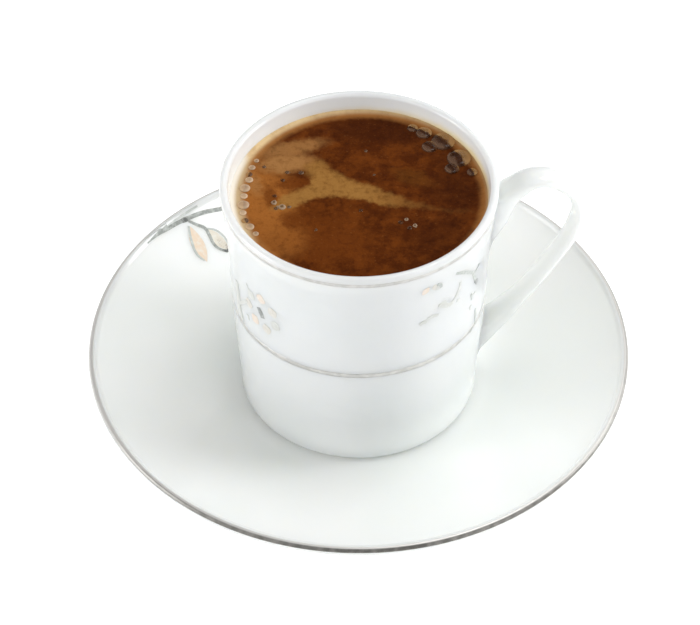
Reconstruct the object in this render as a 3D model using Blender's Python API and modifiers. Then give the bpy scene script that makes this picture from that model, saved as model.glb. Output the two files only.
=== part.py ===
"""Turkish coffee in a small porcelain cup that stands in its saucer.

Three pieces: the saucer, the cup with its ear-shaped handle, and the coffee
with its foam. Metres, +Z up, origin on the table under the saucer's centre.
The handle points along +X.
"""

import math

import bmesh
import bpy
from mathutils import Vector
from mathutils.geometry import interpolate_bezier

MM = 0.001
OBJECT_NAME = "turkish_coffee"
TOUCH_GAP = 0.3 * MM
WELD_DISTANCE = 0.01 * MM

# Saucer: a shallow dish on a turned foot ring
SAUCER_RADIUS = 60.0 * MM
SAUCER_HEIGHT = 15.0 * MM
SAUCER_EDGE_THICKNESS = 2.2 * MM
SAUCER_WELL_RADIUS = 29.0 * MM
SAUCER_WELL_HEIGHT = 4.6 * MM
SAUCER_WELL_THICKNESS = 3.0 * MM
SAUCER_RISE_POWER = 1.45
SAUCER_EDGE_TILT = 25.0
SAUCER_FOOT_OUTER = 34.0 * MM
SAUCER_FOOT_INNER = 30.5 * MM
SAUCER_FOOT_ROUND = 0.5 * MM
SAUCER_RISE_POINTS = 8
SAUCER_STEPS = 84

# Cup: nearly straight up to its waist, then flaring to the lip, on a low foot
CUP_STAND_HEIGHT = SAUCER_WELL_HEIGHT + TOUCH_GAP
CUP_LIP_HEIGHT = 63.6 * MM
CUP_LIP_RADIUS = 29.45 * MM
CUP_WAIST_HEIGHT = 38.0 * MM
CUP_WAIST_RADIUS = 27.85 * MM
CUP_BASE_RADIUS = 26.15 * MM
CUP_LIP_PULL = (-0.8 * MM, -6.0 * MM)
CUP_WAIST_PULL = (0.15 * MM, 12.0 * MM)
CUP_BASE_PULL = (0.35 * MM, 11.0 * MM)
CUP_BASE_CORNER = 1.0 * MM
CUP_BASE_THICKNESS = 3.4 * MM
CUP_WALL_AT_LIP = 1.85 * MM
CUP_WALL_AT_BASE = 2.6 * MM
CUP_FOOT_RECESS = 1.0 * MM
CUP_FOOT_WIDTH = 2.2 * MM
CUP_INNER_CORNER = 7.0 * MM
CUP_WALL_POINTS = 5
CUP_STEPS = 80

# Handle: an ear-shaped strap with flared roots. Each point of its middle line
# is x, z and how much thicker the strap is there. Both ends reach into the
# cup's hollow, where the hollow's cut trims them flush.
HANDLE_THICKNESS = 3.0 * MM
HANDLE_WIDTH = 5.8 * MM
HANDLE_ROOT_SPREAD = 0.35
HANDLE_LINE = (
    (22.0 * MM, 43.5 * MM, 3.0),
    (28.6 * MM, 52.8 * MM, 2.2),
    (33.0 * MM, 59.1 * MM, 1.3),
    (38.0 * MM, 61.9 * MM, 1.0),
    (43.5 * MM, 59.8 * MM, 1.0),
    (46.8 * MM, 54.6 * MM, 1.0),
    (46.4 * MM, 47.6 * MM, 1.0),
    (42.2 * MM, 38.3 * MM, 1.0),
    (35.8 * MM, 27.8 * MM, 1.0),
    (30.2 * MM, 20.6 * MM, 1.4),
    (24.0 * MM, 15.0 * MM, 2.4),
)
HANDLE_CURVE_STEPS = 4
HANDLE_SECTION_STEPS = 3

# Coffee: fills the cup to a little over four millimetres under the lip, and
# creeps up the wall in a low meniscus
COFFEE_LEVEL = 59.2 * MM
COFFEE_MENISCUS_HEIGHT = 0.5 * MM
COFFEE_MENISCUS_WIDTH = 1.4 * MM


def remove_everything():
    for item in list(bpy.data.objects):
        bpy.data.objects.remove(item, do_unlink=True)


def new_collection(name):
    collection = bpy.data.collections.new(name)
    bpy.context.scene.collection.children.link(collection)
    return collection


def plain_material(name, colour, roughness, coat=0.0):
    material = bpy.data.materials.new(name)
    material.use_nodes = True
    shader = material.node_tree.nodes["Principled BSDF"]
    shader.inputs["Base Color"].default_value = (*colour, 1.0)
    shader.inputs["Roughness"].default_value = roughness
    shader.inputs["Metallic"].default_value = 0.0
    shader.inputs["Coat Weight"].default_value = coat
    return material


def arc(centre, radius, start, end, count):
    """Points on a circular arc in the (r, z) plane, angles in degrees."""
    points = []
    for index in range(count + 1):
        angle = math.radians(start + (end - start) * index / count)
        points.append((centre[0] + radius * math.cos(angle),
                       centre[1] + radius * math.sin(angle)))
    return points


def turned_piece(name, profile, steps, collection, material=None):
    """Turn an outline round Z. It starts at the top of the axis, runs out over
    the top face and down the outer side, and comes back to the axis below."""
    mesh = bpy.data.meshes.new(name)
    corners = [(r, 0.0, z) for r, z in profile]
    edges = [(index, index + 1) for index in range(len(corners) - 1)]
    mesh.from_pydata(corners, edges, [])
    piece = bpy.data.objects.new(name, mesh)
    collection.objects.link(piece)
    screw = piece.modifiers.new("turn", "SCREW")
    screw.axis = "Z"
    screw.steps = steps
    screw.render_steps = steps
    screw.use_merge_vertices = True
    screw.merge_threshold = WELD_DISTANCE
    screw.use_smooth_shade = True
    if material:
        mesh.materials.append(material)
    return piece


def saucer_rise(radius):
    """Height of the saucer's upper face at a radius, flat in the well."""
    if radius <= SAUCER_WELL_RADIUS:
        return SAUCER_WELL_HEIGHT
    share = (radius - SAUCER_WELL_RADIUS) / (SAUCER_RADIUS - SAUCER_WELL_RADIUS)
    return SAUCER_WELL_HEIGHT + (SAUCER_HEIGHT - SAUCER_WELL_HEIGHT) * share ** SAUCER_RISE_POWER


def saucer_thickness(radius):
    """The dish gets thinner from its well to its edge."""
    share = min(1.0, max(0.0, (radius - SAUCER_WELL_RADIUS) / (SAUCER_RADIUS - SAUCER_WELL_RADIUS)))
    return SAUCER_WELL_THICKNESS + (SAUCER_EDGE_THICKNESS - SAUCER_WELL_THICKNESS) * share


def make_saucer(collection, glaze):
    edge_radius = SAUCER_EDGE_THICKNESS / 2
    edge_centre = (SAUCER_RADIUS - edge_radius, SAUCER_HEIGHT - edge_radius)
    upper = [(0.0, SAUCER_WELL_HEIGHT)]
    lower = []
    rise_span = edge_centre[0] - SAUCER_WELL_RADIUS
    for index in range(SAUCER_RISE_POINTS):
        radius = SAUCER_WELL_RADIUS + rise_span * index / SAUCER_RISE_POINTS
        upper.append((radius, saucer_rise(radius)))
        if radius > SAUCER_FOOT_OUTER:
            lower.append((radius, saucer_rise(radius) - saucer_thickness(radius)))
    edge = arc(edge_centre, edge_radius, 90.0 + SAUCER_EDGE_TILT, SAUCER_EDGE_TILT - 90.0, 6)
    underside = SAUCER_WELL_HEIGHT - SAUCER_WELL_THICKNESS
    foot = [
        (SAUCER_FOOT_OUTER, saucer_rise(SAUCER_FOOT_OUTER) - SAUCER_WELL_THICKNESS),
        (SAUCER_FOOT_OUTER, SAUCER_FOOT_ROUND),
        (SAUCER_FOOT_OUTER - SAUCER_FOOT_ROUND, 0.0),
        (SAUCER_FOOT_INNER + SAUCER_FOOT_ROUND, 0.0),
        (SAUCER_FOOT_INNER, SAUCER_FOOT_ROUND),
        (SAUCER_FOOT_INNER - SAUCER_FOOT_ROUND, underside),
        (0.0, underside),
    ]
    profile = upper + edge + list(reversed(lower)) + foot
    return turned_piece("saucer", profile, SAUCER_STEPS, collection, glaze)


def bezier(start, start_pull, end_pull, end, count):
    """Points on a cubic curve in the (r, z) plane, both ends included. Each
    pull is the way from an end to its control point."""
    first = Vector(start)
    last = Vector(end)
    points = interpolate_bezier(first, first + Vector(start_pull),
                                last + Vector(end_pull), last, count + 1)
    return [tuple(point) for point in points]


def cup_wall_line():
    """The wall's outer line from the lip down to the base corner."""
    lip = (CUP_LIP_RADIUS, CUP_LIP_HEIGHT - CUP_WALL_AT_LIP / 2)
    waist = (CUP_WAIST_RADIUS, CUP_WAIST_HEIGHT)
    base = (CUP_BASE_RADIUS, CUP_STAND_HEIGHT + CUP_BASE_CORNER)
    below_waist = (-CUP_WAIST_PULL[0], -CUP_WAIST_PULL[1])
    flare = bezier(lip, CUP_LIP_PULL, CUP_WAIST_PULL, waist, CUP_WALL_POINTS)
    lower = bezier(waist, below_waist, CUP_BASE_PULL, base, CUP_WALL_POINTS)
    return flare + lower[1:]


def cup_outer_radius(height):
    """Radius of the wall's outer line at a height."""
    line = cup_wall_line()
    for (upper_r, upper_z), (lower_r, lower_z) in zip(line, line[1:]):
        if height >= lower_z:
            share = (height - lower_z) / (upper_z - lower_z)
            return lower_r + (upper_r - lower_r) * share
    return line[-1][0]


def cup_inner_radius(height):
    share = (height - CUP_STAND_HEIGHT) / (CUP_LIP_HEIGHT - CUP_STAND_HEIGHT)
    wall = CUP_WALL_AT_BASE + (CUP_WALL_AT_LIP - CUP_WALL_AT_BASE) * share
    return cup_outer_radius(height) - wall


def cup_floor_height():
    return CUP_STAND_HEIGHT + CUP_FOOT_RECESS + CUP_BASE_THICKNESS


def cavity_profile(clearance, top):
    """The hollow's outline from its wall at the given height down to the axis,
    shrunk by a clearance, so that the coffee can use it as well."""
    floor = cup_floor_height() + clearance
    corner = CUP_INNER_CORNER
    wall_foot = floor + corner
    heights = [z for r, z in cup_wall_line() if wall_foot < z < top]
    heights = [top] + heights + [wall_foot]
    points = [(cup_inner_radius(height) - clearance, height) for height in heights]
    corner_radius = points[-1][0]
    points += arc((corner_radius - corner, wall_foot), corner, 0.0, -90.0, 4)[1:]
    points.append((0.0, floor))
    return points


def make_cup_body(collection):
    """The cup without its hollow: lip, leaning wall, rounded base and foot."""
    lip_round = CUP_WALL_AT_LIP / 2
    lip_centre = CUP_LIP_RADIUS - lip_round
    profile = [(0.0, CUP_LIP_HEIGHT)]
    profile += arc((lip_centre, CUP_LIP_HEIGHT - lip_round), lip_round, 90.0, 0.0, 4)
    profile += cup_wall_line()[1:]
    base_radius, wall_foot = profile[-1]
    corner_centre = (base_radius - CUP_BASE_CORNER, wall_foot)
    profile += arc(corner_centre, CUP_BASE_CORNER, 0.0, -90.0, 3)[1:]
    foot_inner = corner_centre[0] - CUP_FOOT_WIDTH
    recess = CUP_STAND_HEIGHT + CUP_FOOT_RECESS
    profile += [
        (foot_inner, CUP_STAND_HEIGHT),
        (foot_inner - CUP_FOOT_RECESS, recess),
        (0.0, recess),
    ]
    return turned_piece("cup", profile, CUP_STEPS, collection)


def make_cup_cutter(collection):
    """Opens the hollow. Its upper end rounds the lip's inner edge."""
    lip_round = CUP_WALL_AT_LIP / 2
    lip_centre = (CUP_LIP_RADIUS - lip_round, CUP_LIP_HEIGHT - lip_round)
    above = CUP_LIP_HEIGHT + 5 * MM
    inner_edge = arc(lip_centre, lip_round, 90.0, 180.0, 4)
    profile = [(0.0, above), (lip_centre[0], above)] + inner_edge
    profile += cavity_profile(0.0, lip_centre[1])[1:]
    cutter = turned_piece("cup_hollow", profile, CUP_STEPS, collection)
    cutter.hide_render = True
    cutter.display_type = "WIRE"
    return cutter


def make_handle(collection):
    """A round tube along the strap's middle line, then widened to an oval."""
    curve = bpy.data.curves.new("handle", "CURVE")
    curve.dimensions = "3D"
    curve.bevel_depth = HANDLE_THICKNESS / 2
    curve.bevel_resolution = HANDLE_SECTION_STEPS
    curve.resolution_u = HANDLE_CURVE_STEPS
    curve.use_fill_caps = True
    spline = curve.splines.new("BEZIER")
    spline.bezier_points.add(len(HANDLE_LINE) - 1)
    for point, (x, z, flare) in zip(spline.bezier_points, HANDLE_LINE):
        point.co = (x, 0.0, z)
        point.radius = flare
        point.handle_left_type = "AUTO"
        point.handle_right_type = "AUTO"
    drawn = bpy.data.objects.new("handle_line", curve)
    collection.objects.link(drawn)
    bpy.context.view_layer.update()
    depsgraph = bpy.context.evaluated_depsgraph_get()
    mesh = bpy.data.meshes.new_from_object(drawn.evaluated_get(depsgraph))
    handle = bpy.data.objects.new("handle", mesh)
    handle.matrix_world = drawn.matrix_world
    collection.objects.link(handle)
    bpy.data.objects.remove(drawn, do_unlink=True)

    cage = bmesh.new()
    cage.from_mesh(mesh)
    bmesh.ops.remove_doubles(cage, verts=cage.verts, dist=WELD_DISTANCE)
    half_width = HANDLE_WIDTH / 2
    for corner in cage.verts:
        side = corner.co.y * HANDLE_WIDTH / HANDLE_THICKNESS
        spread = max(0.0, abs(side) - half_width) * HANDLE_ROOT_SPREAD
        corner.co.y = math.copysign(min(abs(side), half_width) + spread, side)
    bmesh.ops.recalc_face_normals(cage, faces=cage.faces)
    cage.to_mesh(mesh)
    cage.free()
    handle.hide_render = True
    handle.display_type = "WIRE"
    return handle


def add_boolean(piece, operation, other):
    cut = piece.modifiers.new(operation.lower(), "BOOLEAN")
    cut.operation = operation
    cut.solver = "EXACT"
    cut.object = other


def make_cup(collection, cutters, glaze):
    cup = make_cup_body(collection)
    cup.data.materials.append(glaze)
    add_boolean(cup, "UNION", make_handle(cutters))
    add_boolean(cup, "DIFFERENCE", make_cup_cutter(cutters))
    return cup


def make_coffee(collection, foam):
    """The drink and its foam as one solid, with a low meniscus at the wall."""
    rim_height = COFFEE_LEVEL + COFFEE_MENISCUS_HEIGHT
    rim_radius = cup_inner_radius(rim_height) - TOUCH_GAP
    profile = [
        (0.0, COFFEE_LEVEL),
        (rim_radius - COFFEE_MENISCUS_WIDTH, COFFEE_LEVEL),
        (rim_radius - COFFEE_MENISCUS_WIDTH / 3, COFFEE_LEVEL + COFFEE_MENISCUS_HEIGHT / 3),
    ]
    profile += cavity_profile(TOUCH_GAP, rim_height)
    return turned_piece("coffee", profile, CUP_STEPS, collection, foam)


def main():
    remove_everything()
    parts = new_collection(OBJECT_NAME)
    cutters = new_collection("cutters")
    glaze = plain_material("white_glaze", (0.86, 0.87, 0.86), 0.12, coat=0.5)
    foam = plain_material("coffee_foam", (0.12, 0.04, 0.012), 0.35)
    make_saucer(parts, glaze)
    make_cup(parts, cutters, glaze)
    make_coffee(parts, foam)


main()
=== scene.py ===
# %% [markdown]
# Turkish coffee in its cup and saucer.
# A small porcelain cup of foamy coffee stands in a shallow saucer. A plain CAD model of
# the three pieces is loaded first as a fixed frame. Every piece made here is built around
# that frame, in metres, with +Z up and the cup's handle pointing along +X.

import math
import random

import bmesh
import bpy
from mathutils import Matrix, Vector
from mathutils.geometry import interpolate_bezier


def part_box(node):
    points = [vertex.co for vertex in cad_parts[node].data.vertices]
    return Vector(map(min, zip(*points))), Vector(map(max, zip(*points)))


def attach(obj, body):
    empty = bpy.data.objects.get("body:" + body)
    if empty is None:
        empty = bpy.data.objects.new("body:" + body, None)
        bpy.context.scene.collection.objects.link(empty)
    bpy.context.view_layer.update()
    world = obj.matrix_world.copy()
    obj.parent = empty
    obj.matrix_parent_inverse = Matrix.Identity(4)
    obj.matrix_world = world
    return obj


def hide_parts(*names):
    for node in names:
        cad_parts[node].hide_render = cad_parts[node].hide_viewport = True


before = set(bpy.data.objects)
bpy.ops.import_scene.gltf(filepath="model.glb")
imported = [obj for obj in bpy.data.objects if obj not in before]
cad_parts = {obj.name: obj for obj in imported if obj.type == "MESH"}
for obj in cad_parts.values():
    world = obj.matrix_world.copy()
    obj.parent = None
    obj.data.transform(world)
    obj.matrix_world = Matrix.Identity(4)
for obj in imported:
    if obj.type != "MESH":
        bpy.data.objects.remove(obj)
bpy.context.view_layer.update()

MM = 0.001
saucer_low, saucer_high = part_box("saucer")
cup_low, cup_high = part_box("cup")
coffee_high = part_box("coffee")[1]
print("saucer", [round(size / MM, 1) for size in saucer_high - saucer_low], "mm")
print("cup", [round(size / MM, 1) for size in cup_high - cup_low], "mm")

# %% [markdown]
# The camera comes first, because every later look is judged through it. The picture was
# taken from about 46 degrees above the table with a long lens, so the cup's sides stay
# nearly parallel. A lens of 139 mm at 0.6 m gives the same perspective. The camera could be
# turned by typing angles, but pointing it from a place at an aim is easier to check.

# %% Camera
CAMERA_PLACE = Vector((-36.54, -414.47, 452.30)) * MM
CAMERA_AIM = Vector((-1.90, 0.16, 24.17)) * MM
CAMERA_LENS = 139.4
SENSOR_WIDTH = 36.0
CAMERA_CLIP = (0.05, 20.0)

camera_data = bpy.data.cameras.new("camera")
camera_data.lens = CAMERA_LENS
camera_data.sensor_width = SENSOR_WIDTH
camera_data.clip_start, camera_data.clip_end = CAMERA_CLIP
camera = bpy.data.objects.new("camera", camera_data)
camera.location = CAMERA_PLACE
camera.rotation_euler = (CAMERA_AIM - CAMERA_PLACE).to_track_quat("-Z", "Y").to_euler()
bpy.context.scene.collection.objects.link(camera)
bpy.context.scene.camera = camera
print("camera is", round((CAMERA_AIM - CAMERA_PLACE).length / MM), "mm from its aim")

# %% [markdown]
# Materials and Geometry Nodes are both trees of nodes. They could be wired one link at a
# time, which soon hides the idea behind the bookkeeping. Two small classes keep it short.
# A bench adds any node from its type, its settings and its sockets. A wire is one output
# socket, and arithmetic written with wires adds Math nodes.


# %% Wires and benches
class Wire:
    """One output socket. Sums and products written with it add Math nodes."""

    def __init__(self, bench, socket):
        self.bench = bench
        self.socket = socket

    def maths(self, operation, *values):
        return self.bench.add("ShaderNodeMath", {"operation": operation}, dict(enumerate(values)))

    def __add__(self, other):
        return self.maths("ADD", self, other)

    def __sub__(self, other):
        return self.maths("SUBTRACT", self, other)

    def __rsub__(self, other):
        return self.maths("SUBTRACT", other, self)

    def __mul__(self, other):
        return self.maths("MULTIPLY", self, other)

    def __truediv__(self, other):
        return self.maths("DIVIDE", self, other)

    def __pow__(self, other):
        return self.maths("POWER", self, other)

    __radd__ = __add__
    __rmul__ = __mul__

    def size(self):
        return self.maths("ABSOLUTE", self)

    def at_least(self, other):
        return self.maths("MAXIMUM", self, other)

    def at_most(self, other):
        return self.maths("MINIMUM", self, other)

    def step(self, low, high):
        """A soft step from 0 at low to 1 at high."""
        settings = {"interpolation_type": "SMOOTHSTEP"}
        sockets = {"Value": self, "From Min": low, "From Max": high}
        return self.bench.add("ShaderNodeMapRange", settings, sockets)


class Bench:
    """Adds nodes to one tree: the type, the settings, then socket values or wires."""

    def __init__(self, tree):
        self.tree = tree

    def add(self, kind, settings=None, sockets=None, output=0):
        node = self.tree.nodes.new(kind)
        for name, value in (settings or {}).items():
            if name == "curve":
                self.set_curve(node, value)
            else:
                setattr(node, name, value)
        inputs = [socket for socket in node.inputs if socket.enabled]
        for key, value in (sockets or {}).items():
            socket = inputs[key] if isinstance(key, int) else self.named(inputs, key)
            if isinstance(value, Wire):
                self.tree.links.new(value.socket, socket)
            else:
                socket.default_value = value
        outputs = [socket for socket in node.outputs if socket.enabled]
        if not outputs:
            return node
        return Wire(self, outputs[output] if isinstance(output, int) else self.named(outputs, output))

    def named(self, sockets, name):
        return next(socket for socket in sockets if socket.name == name)

    def set_curve(self, node, points):
        curve = node.mapping.curves[0]
        while len(curve.points) < len(points):
            curve.points.new(1.0, 1.0)
        for point, place in zip(curve.points, points):
            point.location = place
        node.mapping.update()

    def mix(self, factor, first, second):
        """A colour between two others, each a colour or a wire."""
        sockets = {"Factor": factor, "A": first, "B": second}
        return self.add("ShaderNodeMix", {"data_type": "RGBA"}, sockets)

    def vector(self, operation, first, *others):
        sockets = dict(enumerate((first, *others)))
        return self.add("ShaderNodeVectorMath", {"operation": operation}, sockets)


def rgb(red, green, blue):
    return (red, green, blue, 1.0)


def new_finish(name):
    """A new material with an empty tree, and the bench that fills it."""
    material = bpy.data.materials.new(name)
    material.use_nodes = True
    material.node_tree.nodes.clear()
    return material, Bench(material.node_tree)


def finish_shader(bench, sockets):
    """The Principled shader with these sockets, joined to the material's output."""
    shader = bench.add("ShaderNodeBsdfPrincipled", {}, sockets)
    bench.add("ShaderNodeOutputMaterial", {}, {"Surface": shader})


def scaled(bench, vector, factor):
    return bench.add("ShaderNodeVectorMath", {"operation": "SCALE"}, {"Vector": vector, "Scale": factor})


def place_in_mm(bench):
    """The point's place on the finished piece, in millimetres."""
    return scaled(bench, bench.add("ShaderNodeTexCoord", {}, {}, "Object"), 1 / MM)


def split(bench, vector, axis):
    return bench.add("ShaderNodeSeparateXYZ", {}, {"Vector": vector}, axis)


def joined(bench, **parts):
    """A vector from its X, Y and Z. A part that isn't given is 0."""
    return bench.add("ShaderNodeCombineXYZ", {}, parts)


def flattened(bench, place):
    return bench.vector("MULTIPLY", place, (1.0, 1.0, 0.0))


def length_of(bench, vector):
    return bench.add("ShaderNodeVectorMath", {"operation": "LENGTH"}, {0: vector}, "Value")


def from_axis(bench, place):
    """How far a place lies from the cup's axis."""
    return length_of(bench, flattened(bench, place))


def noise(bench, place, scale, detail=2.0, roughness=0.5, output="Fac"):
    """Cloudy noise. Scale is in clouds per unit of the place that it reads."""
    sockets = {"Vector": place, "Scale": scale, "Detail": detail, "Roughness": roughness}
    return bench.add("ShaderNodeTexNoise", {}, sockets, output)


def attribute(bench, name, output):
    return bench.add("ShaderNodeAttribute", {"attribute_name": name}, {}, output)


def bump(bench, strength, depth, height):
    """Fine relief in the shading alone, where depth is its height in metres."""
    return bench.add("ShaderNodeBump", {}, {"Strength": strength, "Distance": depth, "Height": height})


print("benches ready")

# %% [markdown]
# The porcelain is one finish for the cup and the saucer. Real glaze is nearly white with a
# faint cool cast where it pools. It is glossy but never optically flat: it has a slight
# waviness, called orange peel. A plain white shader would look like plastic, so slow clouds
# move the tint and the roughness a little, and a bump of two noises gives the peel.
# Thin porcelain lets some light through, which the subsurface share gives. Inside the cup the
# glaze is painted whiter as painted light, and the drink leaves a straw-coloured stain above its surface.


# %% Porcelain glaze
GLAZE_WARM = rgb(0.870, 0.885, 0.865)
GLAZE_COOL = rgb(0.840, 0.868, 0.845)
# Painted light: a whiter colour for the inner wall, standing in for light that reaches it.
INSIDE_PAINTED_LIGHT = rgb(0.955, 0.990, 0.965)
COFFEE_STAIN = rgb(0.930, 0.730, 0.460)
PEEL_STRENGTH = 0.25
PEEL_DEPTH = 0.05 * MM
INSIDE_HEIGHTS = (54.0, 56.0)
INSIDE_RADII = (27.6, 28.1)
STAIN_HEIGHTS = (58.8, 62.2)
STAIN_SLANT = 0.05
STAIN_WANDER = 0.8
TRANSLUCENCY = 0.7
TRANSLUCENT_TINT = (1.0, 0.95, 0.85)
TRANSLUCENT_DEPTH = 6.0 * MM


def porcelain_glaze():
    material, bench = new_finish("porcelain_glaze")
    place = place_in_mm(bench)
    height = split(bench, place, "Z")
    clouds = noise(bench, place, 0.035)
    specks = noise(bench, place, 0.6, 3.0)
    waves = noise(bench, place, 0.11, 1.0)
    peel = noise(bench, place, 1.1, 1.0)
    colour = bench.mix(clouds.step(0.35, 0.65), GLAZE_WARM, GLAZE_COOL)
    inside = height.step(*INSIDE_HEIGHTS) * (1 - from_axis(bench, place).step(*INSIDE_RADII))
    # Painted light: the inner wall is painted whiter than the outer glaze; the coffee stain goes over it.
    colour = bench.mix(inside, colour, INSIDE_PAINTED_LIGHT)
    slant = split(bench, place, "X") * STAIN_SLANT
    wander = STAIN_WANDER * noise(bench, place, 0.25)
    wetness = (1 - (height - slant + wander).step(*STAIN_HEIGHTS)) ** 2
    colour = bench.mix(inside * wetness, colour, COFFEE_STAIN)
    finish_shader(bench, {
        "Base Color": colour,
        "Roughness": 0.17 + 0.10 * specks,
        "IOR": 1.5,
        "Coat Weight": 0.3,
        "Coat Roughness": 0.10,
        "Subsurface Weight": TRANSLUCENCY,
        "Subsurface Radius": TRANSLUCENT_TINT,
        "Subsurface Scale": TRANSLUCENT_DEPTH,
        "Normal": bump(bench, PEEL_STRENGTH, PEEL_DEPTH, waves * 0.75 + peel * 0.06),
    })
    return material


glaze = porcelain_glaze()
print("glaze has", len(glaze.node_tree.nodes), "nodes")

# %% [markdown]
# The saucer, the cup's wall and the coffee are all turned shapes: a potter's profile
# carried round an axis. Blender's Screw modifier could turn them. A Geometry Nodes tree
# does it here, because one tree then serves all of them, and its steps can be read. A grid
# has one row for each point of the outline and one column for each turn step. Each grid
# point takes its outline point, turns it about Z, and the seam and poles are welded.


# %% Lathe tree
def new_tree(name, inputs):
    """An empty Geometry Nodes tree with named inputs, and its bench and wires."""
    tree = bpy.data.node_groups.new(name, "GeometryNodeTree")
    tree.interface.new_socket("Geometry", in_out="INPUT", socket_type="NodeSocketGeometry")
    tree.interface.new_socket("Geometry", in_out="OUTPUT", socket_type="NodeSocketGeometry")
    for label, kind in inputs:
        tree.interface.new_socket(label, in_out="INPUT", socket_type="NodeSocket" + kind)
    bench = Bench(tree)
    entry = tree.nodes.new("NodeGroupInput")
    wires = {socket.name: Wire(bench, socket) for socket in entry.outputs if socket.name}
    return tree, bench, wires


def end_tree(bench, geometry, material):
    """Every tree ends the same way: instances made real, then the finish."""
    real = bench.add("GeometryNodeRealizeInstances", {}, {"Geometry": geometry})
    finished = bench.add("GeometryNodeSetMaterial", {}, {"Geometry": real, "Material": material})
    bench.add("NodeGroupOutput", {}, {"Geometry": finished})


def position(bench):
    return bench.add("GeometryNodeInputPosition")


def moved_to(bench, geometry, place):
    return bench.add("GeometryNodeSetPosition", {}, {"Geometry": geometry, "Position": place})


def with_place(bench, geometry, name):
    """The geometry, with each point's place stored under a name."""
    sockets = {"Geometry": geometry, "Name": name, "Value": position(bench)}
    return bench.add("GeometryNodeStoreNamedAttribute", {"data_type": "FLOAT_VECTOR"}, sockets)


def smoothed(bench, geometry):
    return bench.add("GeometryNodeSetShadeSmooth", {}, {"Geometry": geometry})


def lathe_tree():
    tree, bench, given = new_tree("lathe", [("Steps", "Int"), ("Weld", "Float"), ("Finish", "Material")])
    rows = bench.add("GeometryNodeAttributeDomainSize", {}, {"Geometry": given["Geometry"]})
    grid = bench.add("GeometryNodeMeshGrid", {}, {
        "Size X": 1.0,
        "Size Y": 1.0,
        "Vertices X": given["Steps"] + 1,
        "Vertices Y": rows,
    })
    index = bench.add("GeometryNodeInputIndex")
    column = index.maths("FLOOR", (index + 0.5) / rows)
    outline_point = bench.add("GeometryNodeSampleIndex", {"data_type": "FLOAT_VECTOR"}, {
        "Geometry": given["Geometry"],
        "Value": position(bench),
        "Index": index.maths("MODULO", index, rows),
    })
    turned = bench.add("ShaderNodeVectorRotate", {"rotation_type": "Z_AXIS"}, {
        "Vector": outline_point,
        "Angle": column / given["Steps"] * math.tau,
    })
    shape = moved_to(bench, grid, turned)
    welded = bench.add("GeometryNodeMergeByDistance", {}, {"Geometry": shape, "Distance": given["Weld"]})
    end_tree(bench, smoothed(bench, welded), given["Finish"])
    return tree


def baked(source):
    """The mesh that an object's modifiers make of it."""
    bpy.context.view_layer.update()
    depsgraph = bpy.context.evaluated_depsgraph_get()
    return bpy.data.meshes.new_from_object(source.evaluated_get(depsgraph))


def run_tree(source, tree, values):
    """Puts the tree on the source, sets its inputs and returns the mesh it makes."""
    modifier = source.modifiers.new(tree.name, "NODES")
    modifier.node_group = tree
    for item in tree.interface.items_tree:
        if item.in_out == "INPUT" and item.name in values:
            modifier[item.identifier] = values[item.name]
    mesh = baked(source)
    source.modifiers.remove(modifier)
    return mesh


def link_piece(name, mesh):
    piece = bpy.data.objects.new(name, mesh)
    mesh.name = name
    bpy.context.scene.collection.objects.link(piece)
    return piece


def drop(*sources):
    for source in sources:
        bpy.data.objects.remove(source, do_unlink=True)


def face_outwards(mesh):
    cage = bmesh.new()
    cage.from_mesh(mesh)
    bmesh.ops.recalc_face_normals(cage, faces=cage.faces)
    cage.to_mesh(mesh)
    cage.free()


def triangles(mesh):
    return sum(len(face.vertices) - 2 for face in mesh.polygons)


WELD = 0.002 * MM
LATHE = lathe_tree()


def turn_on_lathe(name, outline, steps, material):
    """A piece turned from an outline of (radius, height) points."""
    mesh = bpy.data.meshes.new(name + "_outline")
    edges = [(index, index + 1) for index in range(len(outline) - 1)]
    mesh.from_pydata([(radius, 0.0, height) for radius, height in outline], edges, [])
    source = link_piece(name + "_outline", mesh)
    turned = run_tree(source, LATHE, {"Steps": steps, "Weld": WELD, "Finish": material})
    drop(source)
    face_outwards(turned)
    piece = link_piece(name, turned)
    print(name, "has", triangles(turned), "triangles")
    return piece


# %% [markdown]
# Outlines need round corners, because glaze never lies sharp over an edge, and a lathe
# would crease it. Corners could be bevelled after the turning. It is simpler to write each
# outline as a few corners with a radius, and to replace each corner with a small arc.


# %% Outline helpers
def arc(centre, radius, start, end, count):
    """Points on an arc, angles in degrees, both ends included."""
    points = []
    for index in range(count + 1):
        angle = math.radians(start + (end - start) * index / count)
        points.append((centre[0] + radius * math.cos(angle), centre[1] + radius * math.sin(angle)))
    return points


def rounded(corners, count=5):
    """The outline through (radius, height, rounding) corners, each corner an arc."""
    outline = []
    for index, (x, z, rounding) in enumerate(corners):
        here = Vector((x, z))
        if rounding == 0 or index in (0, len(corners) - 1):
            outline.append((x, z))
            continue
        back = (Vector(corners[index - 1][:2]) - here).normalized()
        ahead = (Vector(corners[index + 1][:2]) - here).normalized()
        half = math.acos(max(-1.0, min(1.0, back.dot(ahead)))) / 2
        reach = rounding / math.tan(half)
        start = here + back * reach
        end = here + ahead * reach
        for step in range(count + 1):
            share = step / count
            point = start.lerp(here, share).lerp(here.lerp(end, share), share)
            outline.append(tuple(point))
    return outline


def spread(start, end, count):
    """Evenly spaced values, both ends included."""
    return [start + (end - start) * index / count for index in range(count + 1)]


print("a corner rounded in", len(rounded([(0, 0, 0), (1, 0, 0.2), (1, 1, 0)])), "points")

# %% [markdown]
# The saucer is a shallow dish: a flat well that carries the cup, a rim that rises ever
# more steeply, a rounded edge that leans in a little, and a turned foot ring below. It
# could be a squashed sphere, but the rim's curve is what catches the light, so it follows
# a power of the distance from the well. The edge and height come from the frame.

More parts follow.
